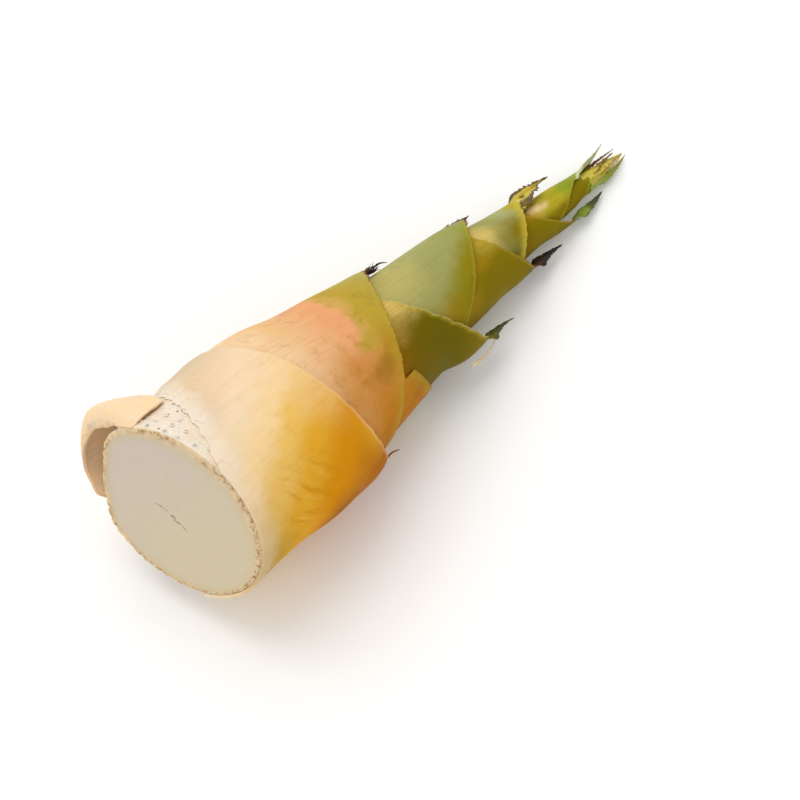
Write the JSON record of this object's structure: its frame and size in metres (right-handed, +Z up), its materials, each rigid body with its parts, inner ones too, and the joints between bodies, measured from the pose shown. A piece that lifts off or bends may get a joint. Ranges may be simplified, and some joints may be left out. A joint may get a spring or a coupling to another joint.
{
  "type": "bamboo shoot",
  "caption": "Fresh bamboo shoot cut across its foot and lying on its side: a tapering cream stem wrapped in overlapping pointed sheaths that run from straw to green.",
  "frame": {"origin": "under the middle of the shoot's box, on the surface it lies on", "axes": "+X level from the cut foot to the tip, +Z up, +Y to the side the loose husk stands on"},
  "size_m": [0.2944, 0.0952, 0.0916],
  "materials": {
    "stem": "moist matt flesh, cream with purple-brown root nubs",
    "husk": "dry, papery, pale straw with faint ribs",
    "sheath_1": "waxy satin, cream running to yellow and gold, finely ribbed",
    "sheath_2": "waxy satin, orange-cream to gold with a green top and a dark brown tuft",
    "sheath_3": "satin, dark olive green with an orange foot, finely ribbed",
    "sheath_4": "satin, grey-green running to dark olive, finely ribbed",
    "sheath_5": "satin, yellow-green running to dark olive, finely ribbed",
    "sheath_6": "satin, grey-green with a yellow fringed top and a brown blade",
    "sheath_7": "satin, olive green with a dark frilled blade",
    "sheath_8": "satin, light yellow-green with a pale blade",
    "bud": "satin, olive green rolled leaves with brown frilled edges"
  },
  "bodies": {
    "root": {"stem": "stem", "husk": "husk", "sheath_1": "sheath_1", "sheath_2": "sheath_2", "sheath_3": "sheath_3", "sheath_4": "sheath_4", "sheath_5": "sheath_5", "sheath_6": "sheath_6", "sheath_7": "sheath_7", "sheath_8": "sheath_8", "bud": "bud"}
  },
  "joints": []
}
